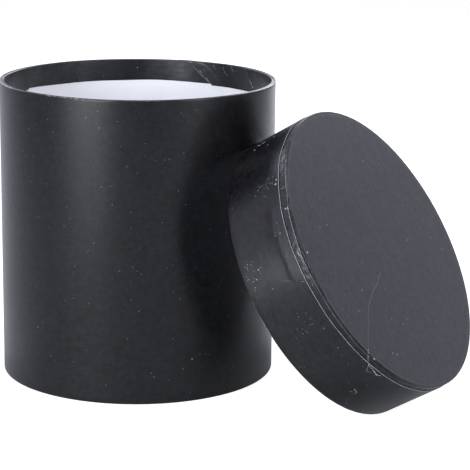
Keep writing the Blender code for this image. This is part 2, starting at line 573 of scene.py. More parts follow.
def covering_paper(name, place, seed, dust=0.8, flecks=(), hair=None, streaks=(2.4, 2.4, 20.0),
                   mottled=0.0038):
    """Satin black covering paper, mottled from the deepest ink up to the mottled level.

    A pale film lies on it in streaks, which roughen its gloss too and are stretched most along the
    axis with the smallest of the streak numbers. Specks of dust are fewer the higher the dust bar,
    and finer ones lie where it is marked dusty. Scuffs lighten it in streaks, and the same mark
    carries painted light: lamplight painted on the box's hem and the lid's side, and painted
    highlights on the lid's disc and band. The pale inside of the paper shows where the mark of wear
    and a fine noise are high together, and the same pale tint paints highlights and a reflection on
    some folds, edges and the rim's flat.
    """
    material, nodes = new_material(name)
    turned = place.inverted()
    spot = nodes.add("ShaderNodeTexCoord", output="Object")
    spot = nodes.add("ShaderNodeMapping", Vector=spot, Location=turned.to_translation(),
                     Rotation=turned.to_euler())
    moved = nodes.vector("ADD", spot, (seed * 0.37, seed * 0.21, 0.0))
    cloud = nodes.noise(moved, scale=14.0, detail=3.0)
    mottle = nodes.noise(moved, scale=280.0, detail=4.0, roughness=0.6)
    grain = nodes.noise(moved, scale=1600.0, detail=2.0)
    fray = nodes.noise(moved, scale=900.0, detail=3.0)
    drawn = nodes.vector("MULTIPLY", moved, streaks)
    rub = nodes.noise(drawn, scale=55.0, detail=4.0, roughness=0.65)

    coarse_dust = nodes.specks(moved, scale=210.0, bar=dust, size=0.42 * MM)
    fine_dust = nodes.specks(moved, scale=900.0, bar=0.978, size=0.36 * MM,
                             more=nodes.math("MULTIPLY", nodes.mark("dusty"), 0.41))
    uneven = nodes.math("SUBTRACT", fray, 0.5)
    # Pale inside of the paper, at wear and at painted highlights.
    pale_core_and_highlight = nodes.ramp(nodes.math("ADD", nodes.mark("worn"), uneven), 0.42, 0.78)

    tint = nodes.mix(nodes.ramp(mottle, 0.38, 0.62), DEEPEST_INK, grey(mottled, INK_BLUE))
    # Scuffs and painted light: the tint is lightened in streaks where that mark is high.
    streaky_scuffs_and_light = nodes.math("MULTIPLY", nodes.mark("scuffed"), nodes.ramp(rub, 0.3, 0.7, 0.35, 0.85))
    tint = nodes.mix(streaky_scuffs_and_light, tint, SCUFF_AND_LIGHT_INK)
    tint = nodes.mix(nodes.ramp(rub, 0.35, 0.75, 0.0, FILM_SHARE), tint, PALE_FILM)
    if hair:
        tint = nodes.laid_over(tint, hair_cover(nodes, spot, *hair), HAIR_SHARE, PALE_HAIR)
    tint = nodes.laid_over(tint, fine_dust, FINE_DUST_SHARE, FINE_DUST)
    tint = nodes.laid_over(tint, coarse_dust, COARSE_DUST_SHARE, COARSE_DUST)
    if flecks:
        tint = nodes.mix(nodes.flecks(spot, flecks), tint, WHITE_FLECK)
    tint = nodes.mix(pale_core_and_highlight, tint, CORE_AND_HIGHLIGHT_TINT)

    cloudy = nodes.ramp(cloud, 0.3, 0.7, -0.015, 0.015)
    gloss = nodes.math("ADD", cloudy, nodes.ramp(rub, 0.3, 0.7, 0.28, 0.32))
    rough = nodes.math("MAXIMUM", gloss, nodes.math("MULTIPLY", pale_core_and_highlight, CORE_ROUGHNESS))
    height = nodes.math("ADD", nodes.math("MULTIPLY", grain, 0.7), nodes.math("MULTIPLY", rub, 0.3))
    nodes.surface(tint, rough, height, TOOTH_STRENGTH, TOOTH_DEPTH, IOR=COVERING_IOR)
    return material


def lining_paper(name, seed):
    """Matt white lining paper with faint mottling and the soft tooth of uncoated stock."""
    material, nodes = new_material(name)
    spot = nodes.add("ShaderNodeTexCoord", output="Object")
    moved = nodes.vector("ADD", spot, (seed * 0.31, 0.0, seed * 0.17))
    cloud = nodes.noise(moved, scale=30.0, detail=4.0)
    tooth = nodes.noise(moved, scale=1300.0, detail=3.0)
    fibre = nodes.noise(moved, scale=300.0, detail=5.0)
    tint = nodes.mix(cloud, LINING_SHADE, LINING_LIGHT)
    rough = nodes.ramp(fibre, 0.3, 0.7, 0.62, 0.78)
    height = nodes.math("ADD", tooth, fibre)
    nodes.surface(tint, rough, height, TOOTH_STRENGTH, TOOTH_DEPTH, IOR=LINING_IOR)
    return material


def bare_board(name, seed):
    """Bare grey board: flecked pulp with a felted surface."""
    material, nodes = new_material(name)
    spot = nodes.add("ShaderNodeTexCoord", output="Object")
    moved = nodes.vector("ADD", spot, (seed * 0.29, 0.0, 0.0))
    cloud = nodes.noise(moved, scale=60.0, detail=5.0)
    fleck = nodes.noise(moved, scale=900.0, detail=2.0)
    tint = nodes.mix(cloud, BOARD_SHADE, BOARD_LIGHT)
    tint = nodes.mix(nodes.ramp(fleck, 0.62, 0.72), tint, BOARD_FLECK)
    rough = nodes.ramp(cloud, 0.2, 0.8, 0.80, 0.92)
    nodes.surface(tint, rough, fleck, FELT_STRENGTH, FELT_DEPTH)
    return material


def dress(piece, node, body, material):
    """Give a new sheet its material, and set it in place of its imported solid."""
    piece.data.materials.append(material)
    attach(piece, body)
    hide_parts(node)


# The box. Places on its walls are (degrees round the axis, millimetres of height). Flecks add a
# size in millimetres and a strength, and torn spots are a strength with the places of a line. A
# list of turns, in degrees, goes with the list of values after it.

WALL_FLECKS = [
    (-36.4, 29.9, 0.7, 0.55), (-103.7, 46.4, 0.6, 0.44), (-41.7, 72.2, 0.5, 0.28),
    (-111.9, 164.8, 0.5, 0.28), (-32.9, 32.7, 0.5, 0.28), (-30.1, 32.0, 0.45, 0.19),
    (-40.3, 23.7, 0.5, 0.28), (-52.3, 19.6, 0.5, 0.28), (-53.5, 22.4, 0.5, 0.25),
    (-66.1, 92.2, 0.45, 0.25), (-57.4, 90.4, 0.5, 0.22), (-60.6, 95.1, 0.45, 0.22),
    (-76.2, 110.2, 0.45, 0.25), (-48.0, 166.1, 0.45, 0.22), (-51.6, 165.6, 0.4, 0.19),
    (-17.2, 16.8, 0.45, 0.22), (-40.1, 79.5, 0.45, 0.19), (-73.9, 186.7, 0.4, 0.28),
    (-94.1, 181.4, 0.45, 0.22)]
RIM_FLECKS = [(turn, 204.6, size, strength) for turn, size, strength in (
    (-154.0, 1.2, 1.0), (-152.0, 1.4, 1.0), (-150.0, 1.2, 0.9), (38.0, 1.0, 0.8),
    (41.5, 1.3, 1.0), (44.5, 1.2, 1.0), (48.0, 1.1, 0.9), (51.5, 0.9, 0.7))]
FOLD_FLECKS = [(turn, 204.8, size, strength) for turn, size, strength in (
    (-148.6, 0.9, 0.8), (-143.4, 0.9, 0.7), (-140.2, 0.8, 0.6), (-137.6, 1.0, 1.0), (-134.4, 0.8, 0.7),
    (-131.9, 1.0, 1.0), (-128.6, 0.8, 0.6), (-126.1, 0.9, 0.8), (-122.3, 0.8, 0.6))]
RIM_TURNS = [
    -180, -150, -143, -121, -117, -100, -97, -80, -68, -64, -54, -47, -45, -36, -12, -8, 6, 26, 36, 180]
RIM_RUBBED = [
    0.2, 0.3, 1.0, 0.95, 0.2, 0.2, 0.80, 0.66, 0.5, 0.2, 0.6, 0.6, 0.2, 0.2, 0.25, 0.28, 0.26, 0.26,
    0.2, 0.2]
RIM_INNER_TURNS = [-172, -162, -142, -132, -2, 6, 34, 46]
RIM_INNER_RUBBED = [0, 0.7, 0.7, 0, 0, 0.5, 0.6, 0]
# Painted light over scuffs on the hem: lighter by angle where lamplight falls, most near 101 degrees.
HEM_LIGHT_AND_SCUFF_TURNS = [60, 77, 83, 89, 95, 101, 107, 113, 121, 131, 143, 153, 165]
HEM_LIGHT_AND_SCUFFS = [0.03, 0.02, 0.045, 0.06, 0.075, 0.14, 0.10, 0.06, 0.015, 0.03, 0.05, 0.07, 0.07]
HEM_BUSY_TURNS = [58, 61, 64, 73, 79, 84, 87, 90, 93, 96, 99, 103]
HEM_LAP = [
    (102.9, 205.0), (99.0, 204.1), (95.5, 202.2), (93.5, 199.5), (91.9, 196.7), (90.3, 194.3),
    (88.8, 192.7), (87.1, 190.3), (85.9, 187.9)]
PLEAT = [(64.3, 204.3), (62.0, 200.5), (61.8, 197.6), (60.1, 195.1), (58.8, 192.5), (58.1, 189.6)]
PLEAT_GAP = [(59.7, 197.3), (58.0, 193.1)]
TORN_SPOTS = [
    (0.75, [(98.5, 204.6), (96.0, 204.0)]), (1.0, [(92.2, 198.9), (91.2, 196.8)]),
    (1.0, [(91.2, 195.7), (90.1, 194.0)]), (0.85, [(89.1, 193.9), (86.9, 190.5)]),
    (0.7, [(84.8, 203.6), (83.7, 200.2)]), (0.8, [(79.4, 203.3), (78.8, 200.5), (76.9, 196.8)]),
    (0.9, [(74.5, 204.0), (73.0, 200.5)]), (0.45, [(82.3, 197.4), (82.0, 194.5)]),
    (0.8, [(65.8, 204.0), (65.4, 203.3)]), (0.9, [(61.4, 197.6), (59.7, 195.1), (58.5, 192.5)]),
    (0.7, [(121.7, 202.3), (121.5, 200.0), (122.0, 197.8), (122.4, 195.5)]),
    (0.45, [(119.4, 203.0), (119.2, 200.8)]), (0.65, [(109.2, 198.9), (109.0, 196.6)])]


def box_side_paper():
    """The sheet round the box, turned under its foot and over its rim into the hem.

    The lift holds a soft ripple, the lap with a groove beside it, puckers drawn down from the rim,
    the pleat with its gap, and the hollow between the rim's two folds. The slide moves the hem's
    lower edge in slow waves and by its step at the lap.
    """
    angles = columns_round(600, np.radians(HEM_BUSY_TURNS), reach=math.radians(2.0), gain=5.0)
    face = Face([(BOX_RADIUS - BASE_TURN, WRAP_FOOT), (BOX_RADIUS, WRAP_FOOT), (BOX_RADIUS, BOX_HEIGHT),
                 (BOX_BORE, BOX_HEIGHT), (BOX_BORE, HEM_END)],
                [even(6), crowded(28, 0.3, 0.12), even(8), even(50)])
    height = face.height
    on_side = smooth(0.9, 1.1, face.zone)
    inside = smooth(2.4, 2.9, face.zone)
    lift = ripple(angles, height, 3, size=0.035 * MM, turns=9, wave=60 * MM) * on_side

    lap = laid_flat(HEM_LAP, BOX_BORE)
    lap_at = np.interp(height, [y for _, y in lap[::-1]], [x for x, _ in lap[::-1]])
    lap_at = np.where(face.zone < 2.5, lap[0][0], lap_at)
    past = angles * BOX_BORE - lap_at
    layer = plateau(past, -LAP_WIDTH, -9 * MM, -0.12 * MM, 0.12 * MM)
    lift += LAP_LIFT * layer * on_side
    lift -= LAP_GROOVE * bell(past, 0.32 * MM, 0.3 * MM) * inside

    draw = np.random.default_rng(11)
    for _ in range(HEM_PUCKERS):
        place = draw.uniform(-math.pi, math.pi)
        width = draw.uniform(1.0, 3.4) * MM
        size = draw.uniform(-0.06, 0.10) * MM
        apart = turn_apart(angles, place) * BOX_BORE
        lean = draw.uniform(-0.2, 0.2) * (height - BOX_HEIGHT)
        lift += inside * size * bell(apart, lean, width)
    pleat = stroke(angles, height, PLEAT, BOX_BORE, PLEAT_WIDTH)
    gap = stroke(angles, height, PLEAT_GAP, BOX_BORE, PLEAT_GAP_WIDTH)
    lift += inside * PLEAT_LIFT * pleat
    lift -= inside * PLEAT_GAP_DEPTH * gap
    hollow = plateau(face.radius, BOX_BORE + 0.3 * MM, BOX_BORE + 1.3 * MM,
                     BOX_RADIUS - 1.3 * MM, BOX_RADIUS - 0.3 * MM)
    lift -= RIM_HOLLOW * hollow * (face.zone == 2.0)

    uneven = beats(angles, 0.8, 0.2, (97, 0.9), (41, 1.3))
    worn = by_angle(angles, RIM_TURNS, RIM_RUBBED) * uneven * face.on_fold(1.5)
    worn += by_angle(angles, RIM_INNER_TURNS, RIM_INNER_RUBBED) * face.on_fold(2.5)
    # Painted reflection of a lamp on the rim's flat, between -6 and 30 degrees.
    worn += by_angle(angles, [-14, -6, 30, 38], [0, 0.72, 0.72, 0]) * (face.zone == 2.0)
    for strength, places in TORN_SPOTS:
        worn += inside * strength * stroke(angles, height, places, BOX_BORE, TORN_WIDTH)
    patchy = 1.0 + ripple(angles, height, 41, size=0.35, turns=60, wave=12 * MM)
    # The hem is lightened by angle, with painted light over its scuffs.
    scuffed = inside * by_angle(angles, HEM_LIGHT_AND_SCUFF_TURNS, HEM_LIGHT_AND_SCUFFS) * np.clip(patchy, 0.2, 2.0)
    on_wall = (face.zone > 0.9) & (face.zone < 1.5)
    worn += 0.8 * bell(past, -0.05 * MM, 0.14 * MM) * on_wall

    deep = 0.21 * MM * np.sin(5 * angles + 1.0) + 0.15 * MM * np.sin(11 * angles + 2.0)
    deep += HEM_STEP * smooth(-0.25 * MM, 0.25 * MM, lap[-1][0] - angles * BOX_BORE) - 0.5 * MM
    slide = inside * smooth(BOX_HEIGHT - 3 * MM, HEM_END, height) * deep
    piece = paper_sheet("box_side_paper", STANDING, face, angles, lift, (TUCK, CUT_SLANT), slide,
                        worn=worn, scuffed=scuffed)
    flecks = on_round(WALL_FLECKS, BOX_RADIUS)
    flecks += on_round(RIM_FLECKS, BOX_RADIUS - RIM_MIDDLE)
    flecks += on_round(FOLD_FLECKS, BOX_RADIUS - FOLD_MIDDLE)
    dress(piece, "box_side_wrap", "box", covering_paper("covering_box_side", STANDING, 1, 0.95, flecks))


def box_base_paper():
    """The paper disc glued under the foot, over the turned-under edge."""
    angles = columns_round(360)
    face = Face([(0.0, 0.0), (BASE_COVER_RADIUS, 0.0)], [crowded(30, 1.0, 0.2)])
    lift = -np.abs(disc_ripple(angles, face.radius, 5, size=0.02 * MM, turns=7, wave=40 * MM))
    worn = 0.6 * smooth(BASE_COVER_RADIUS - 0.3 * MM, BASE_COVER_RADIUS, face.radius)
    piece = paper_sheet("box_base_paper", STANDING, face, angles, lift, worn=worn)
    dress(piece, "box_base_cover", "box", covering_paper("covering_box_base", STANDING, 2))


def box_wall_lining():
    """The white sheet on the inner wall, its top edge tucked behind the hem and its ends lapped."""
    lap = math.radians(112.3)
    angles = columns_round(480, [lap])
    bore = BOX_BORE + BEHIND_HEM
    face = Face([(bore, LINING_TOP + TUCKED_EDGE), (bore, FLOOR_TOP)], [crowded(60, 0.3, 0.3)])
    past = turn_apart(angles, lap) * BOX_BORE
    layer = plateau(past, -0.3 * MM, 0.3 * MM, 7 * MM, 11 * MM)
    lift = ripple(angles, face.height, 7, size=0.025 * MM, turns=12, wave=45 * MM) - 0.03 * MM
    lift += LINING_LAP * layer * (1.0 - smooth(186 * MM, 189 * MM, face.height))
    piece = paper_sheet("box_wall_lining", STANDING, face, angles, lift)
    dress(piece, "box_wall_liner", "box", lining_paper("lining_box_wall", 1))


def box_floor_lining():
    """The white disc on the floor of the box."""
    angles = columns_round(240)
    face = Face([(BOX_BORE - CORNER_GAP, FLOOR_TOP), (0.0, FLOOR_TOP)], [even(30)])
    lift = disc_ripple(angles, face.radius, 9, size=0.02 * MM, turns=6, wave=50 * MM)
    piece = paper_sheet("box_floor_lining", STANDING, face, angles, lift)
    dress(piece, "box_floor_liner", "box", lining_paper("lining_box_floor", 2))


# The lid. Places on its side are (degrees round its axis, millimetres above its open rim). Strip
# spots are (strength, width in millimetres, places of a line), and dusty places are (share, degrees,
# height, width in degrees, height in millimetres).

EDGE_TURNS = [-169, -160, -152, -143, -129, -112, -103, -97, -92, -84, -77, -67, -56, -42, -23, -14, 20]
EDGE_RISE = [
    -0.4, 0.0, 0.5, -0.4, -0.7, -0.8, -1.1, -0.6, -0.5, -0.1, -0.2, 0.6, 1.0, 1.2, 0.8, 0.4, 0.0]
PATCH_TURNS = [-119.9, -114.6, -111.2, -110.6, -108.6, -103.9, -100.4, -95.9, -93.0]
PATCH_FOOT = [34.8, 33.1, 32.9, 34.8, 34.2, 33.7, 34.1, 33.5, 34.1]
LOOP_LEFT = [(-52.4, 42.7), (-51.5, 40.9), (-49.6, 37.1), (-49.1, 36.4), (-47.8, 38.2)]
LOOP_RIGHT = [(-50.9, 41.0), (-47.9, 40.0), (-44.9, 39.0), (-43.9, 40.4)]
LOOP_TAIL = [(-46.8, 38.3), (-45.2, 38.9)]
SIDE_FLECKS = [
    (-78.4, 31.0, 0.5, 0.19), (-76.5, 30.1, 0.5, 0.19), (-73.2, 35.2, 0.6, 0.28),
    (-74.7, 20.5, 0.5, 0.28), (-64.0, 34.6, 0.6, 0.22), (-60.9, 33.5, 0.5, 0.17),
    (-94.2, 17.4, 0.5, 0.25), (-106.2, 6.6, 0.6, 0.28), (-105.1, 5.9, 0.6, 0.28),
    (-102.6, 13.1, 0.7, 0.39), (-99.7, 9.4, 0.7, 0.39), (-99.5, 6.5, 0.6, 0.28),
    (-97.3, 6.3, 0.6, 0.28), (-43.0, 19.6, 0.7, 0.5), (-42.0, 19.0, 0.6, 0.39), (-41.1, 18.4, 0.7, 0.5),
    (-42.9, 16.1, 0.5, 0.28), (-42.4, 16.5, 0.5, 0.28), (-40.9, 16.2, 0.5, 0.22),
    (-37.0, 5.3, 0.6, 0.28), (-130.9, 39.1, 1.0, 0.55), (-132.8, 39.8, 0.8, 0.5),
    (-111.1, 36.4, 0.9, 0.19), (-164.1, 14.9, 1.15, 1.0), (-164.9, 18.2, 1.0, 1.0),
    (-164.5, 17.2, 0.9, 0.9), (-158.3, 25.5, 0.7, 0.8), (-161.1, 12.6, 0.9, 0.8),
    (-165.2, 26.0, 0.8, 0.8)]
DUSTY_PLACES = [
    (1.0, -133.8, 30, 3, 6), (0.5, -103, 9, 5, 5), (0.8, -101.5, 37.6, 2.5, 1.5), (0.4, -77, 26, 4, 5)]
STRIP_BUSY_TURNS = [-168, -133, -122, -116, -110, -104, -98, -93, -52, -48, -44]
STRIP_SPOTS = [
    (1.0, 0.6, [(-165.1, 13.0), (-164.5, 13.2)]), (0.9, 0.5, [(-166.4, 15.8), (-165.9, 16.1)]),
    (0.8, 0.5, [(-161.8, 11.6), (-161.4, 11.7)]), (0.7, 0.5, [(-159.4, 25.0), (-159.1, 25.3)]),
    (0.8, 0.5, [(-165.6, 25.7), (-165.4, 26.0)]), (0.6, 0.3, [(-54.5, 41.1), (-55.0, 42.6)]),
    (0.6, 0.3, [(-60.7, 40.8), (-61.0, 42.1)]), (0.8, 0.3, LOOP_LEFT), (0.9, 0.3, LOOP_RIGHT),
    (0.6, 0.3, LOOP_TAIL)]


def lid_side_paper():
    """The strip round the lid, turned over its open rim into a hem, with its cut edge near the top.

    The lift holds a soft ripple, puckers at the open rim, and a patch under the cut edge, where the
    tabs of the top sheet lie double behind the strip, with a valley along its foot, a notch and a
    slanted end. The patch is painted lighter and its end carries a painted highlight. The slide makes
    the cut edge wander.
    """
    angles = columns_round(760, np.radians(STRIP_BUSY_TURNS), reach=math.radians(2.5), gain=3.0)
    face = Face([(LID_BORE, LID_HEM), (LID_BORE, 0.0), (LID_RADIUS, 0.0), (LID_RADIUS, STRIP_TOP)],
                [crowded(14, 0.6, 0.6), even(6), crowded(60, 0.5, 0.25)])
    height = face.height
    turn = np.degrees(angles)
    outside = smooth(1.9, 2.0, face.zone) * smooth(1.0 * MM, 4.0 * MM, height)
    lift = ripple(angles, height, 13, size=0.03 * MM, turns=11, wave=40 * MM) * outside

    level = height / MM
    foot = np.interp(turn, PATCH_TURNS, PATCH_FOOT)
    past_end = turn - PATCH_TURNS[-1] - 0.25 * (level - PATCH_FOOT[-1])
    reach = smooth(-123.0, -119.0, turn) * (1.0 - smooth(-0.4, 0.2, past_end))
    patch = reach * smooth(foot - 2.4, foot + 1.0, level)
    valley = reach * plateau(level, foot - 12.0, foot - 2.4, foot - 2.4, foot)
    notch = bell(turn, -111.1, 0.8) * bell(level, 33.4, 1.3)
    lift += (TAB_LIFT * patch - TAB_VALLEY * valley - NOTCH_DEPTH * notch) * outside
    lift += rim_puckers(angles, height, 31) * outside

    patchy = beats(angles, 0.5, 0.5, (19, 0.3), (8, 1.4))
    # Painted highlight on the open rim's fold between -85 and -79 degrees, over patchy wear.
    rim_wear_and_highlight = 0.25 + 0.35 * patchy + by_angle(angles, [-88, -85, -79, -76], [0, 0.6, 0.6, 0])
    worn = rim_wear_and_highlight * face.on_fold(1.5)
    worn += 0.9 * smooth(STRIP_TOP - 0.16 * MM, STRIP_TOP - 0.04 * MM, height) * outside
    # Painted highlight along the patch's slanted end.
    patch_end_highlight = bell(past_end, 0.0, 0.2) * plateau(level, 32.8, 34.0, 41.0, 41.8)
    worn += 0.62 * patch_end_highlight * outside
    for strength, width, places in STRIP_SPOTS:
        worn += strength * outside * stroke(angles, height, places, LID_RADIUS, width * MM)
    # Painted light: the side is lightened by angle, and over the raised patch, but not in the valley.
    rubbing_and_painted_light = by_angle(angles, [-148, -135, -122, -110, -95, -80, -62, -50],
                      [0.0, 0.01, 0.025, 0.03, 0.02, 0.02, 0.01, 0.0])
    scuffed = (rubbing_and_painted_light * (1.0 - valley) + 0.035 * patch) * outside
    dusty = np.zeros(lift.shape)
    for share, middle, middle_level, wide, tall in DUSTY_PLACES:
        dusty += share * bell(turn, middle, wide) * bell(level, middle_level, tall) * outside

    slide = by_angle(angles, EDGE_TURNS, EDGE_RISE) * MM + 0.1 * MM * np.sin(13 * angles)
    slide = slide * smooth(30 * MM, STRIP_TOP, height) * outside
    piece = paper_sheet("lid_side_paper", LEANING, face, angles, lift, (0.0, CUT_SLANT), slide,
                        worn=worn, scuffed=scuffed, dusty=dusty)
    flecks = on_round(SIDE_FLECKS, LID_RADIUS)
    dress(piece, "lid_side_wrap", "lid", covering_paper("covering_lid_side", LEANING, 3, 0.90, flecks))


def rim_puckers(angles, height, seed):
    """Small puckers of the paper that run up from the open rim: bells across, fading with height."""
    draw = np.random.default_rng(seed)
    total = np.zeros(np.broadcast(height, angles).shape)
    for _ in range(RIM_PUCKERS):
        apart = turn_apart(angles, draw.uniform(-math.pi, math.pi)) * LID_RADIUS
        lean = draw.uniform(-0.3, 0.3) * height
        total += draw.uniform(-0.05, 0.06) * MM * bell(apart, lean, draw.uniform(0.8, 2.4) * MM)
    return total * (1.0 - smooth(3 * MM, 14 * MM, height))


# Flecks on the disc are (two distances from its middle, size, strength) with millimetres, and the
# hair runs through (along, across) places on it. The ridge is given as heights above the open rim.

TAB_EDGES = [
    -141.0, -128.4, -120.0, -102.0, -92.5, -79.0, -66.0, -52.0, -39.0, -27.0, -14.0, 0.0, 13.0, 26.0,
    39.0, 52.0, 64.0, 77.0, 90.0, 103.0, 115.0, 128.0, 141.0, 154.0, 167.0, -180.0, -167.0, -154.0]
HAIR_ON_DISC = [
    (19.4, 13.9), (24.3, 16.4), (31.7, 20.1), (40.8, 23.0), (49.0, 27.0), (53.6, 29.3), (59.5, 34.3),
    (66.6, 40.8), (73.6, 47.2), (80.0, 53.2), (82.2, 55.8)]
HAIR_ON_BAND = [(-55.6, 47.4), (-54.7, 45.9), (-53.1, 43.8), (-52.6, 42.9)]
HAIR_END = [(-52.6, 47.9), (-52.2, 48.0)]
RIDGE_TURNS = [-141, -127, -119, -111, -106, -99, -90, -76, -66, -56, 180]
RIDGE_HEIGHTS = [46.3, 46.4, 45.7, 45.7, 45.6, 45.3, 45.9, 46.0, 46.3, 46.5, 46.4]
RIDGE_WEAR_AND_HIGHLIGHT_TURNS = [-142, -140, -128, -126, -120, -119, -97, -95, -93, 50, 60, 120, 130]
RIDGE_WEAR_AND_HIGHLIGHT = [0, 0.62, 0.60, 0, 0, 0.88, 0.85, 0.6, 0, 0, 0.5, 0.5, 0]
DISC_FLECKS = [
    (-17.5, -93.3, 1.1, 0.55), (-27.9, -55.0, 0.8, 0.3), (-28.6, -64.4, 0.7, 0.27),
    (-45.4, -47.2, 0.7, 0.27), (18.6, -52.2, 0.8, 0.24), (29.2, -68.1, 0.7, 0.24),
    (50.3, -23.4, 0.8, 0.24), (48.8, -15.3, 0.8, 0.18), (9.4, 70.4, 0.7, 0.24), (19.7, 78.0, 0.7, 0.32),
    (3.2, 36.1, 0.9, 0.24), (62.7, -53.4, 1.2, 0.18), (65.0, -48.9, 1.2, 0.18),
    (59.6, -78.3, 1.0, 0.33), (53.2, -80.0, 0.9, 0.3), (54.6, -81.4, 0.7, 0.3), (-57.3, 30.5, 0.7, 0.3),
    (-3.2, 86.8, 0.7, 0.28)]
BAND_FLECKS = [
    (-142.6, 43.7, 0.6, 0.3), (-141.0, 43.0, 0.6, 0.25), (-142.5, 46.8, 0.6, 0.3),
    (-141.6, 45.7, 0.5, 0.25), (-140.6, 44.4, 0.5, 0.25), (-139.6, 46.9, 0.6, 0.25),
    (-139.4, 43.2, 0.6, 0.25), (-138.2, 45.3, 0.5, 0.2), (-136.6, 43.8, 0.6, 0.25)]
BAND_SPOTS = [
    (0.8, [(-91.9, 43.3), (-91.3, 43.7)]), (0.7, [(-89.7, 43.5), (-89.0, 43.9)]),
    (0.75, [(-128.1, 41.9), (-127.4, 46.3)]), (0.35, [(-124.6, 44.4), (-119.4, 45.3)]),
    (0.75, [(-119.0, 41.6), (-118.9, 43.9), (-119.4, 46.1)]),
    (0.65, [(-119.4, 43.6), (-118.4, 45.7), (-117.6, 44.2), (-119.4, 43.6)]),
    (0.85, [(-102.7, 43.7), (-101.0, 44.1), (-99.3, 45.0)]), (0.65, [(-101.0, 44.1), (-100.1, 42.7)]),
    (0.75, [(-160.9, 43.9), (-158.4, 45.3)]), (0.7, [(-160.2, 46.0), (-157.0, 46.8)]),
    (0.65, [(-154.8, 47.0), (-151.9, 46.6)]), (0.65, [(-166.6, 45.5), (-165.1, 46.5)]),
    (0.8, [(-168.4, 45.4), (-167.4, 45.9)]), (0.7, [(-166.4, 43.4), (-165.7, 44.0)]),
    (0.7, [(-162.7, 42.3), (-162.0, 42.6)]), (0.8, [(-160.0, 46.6), (-159.4, 46.9)]),
    (0.7, [(-157.2, 46.0), (-156.6, 46.3)])]


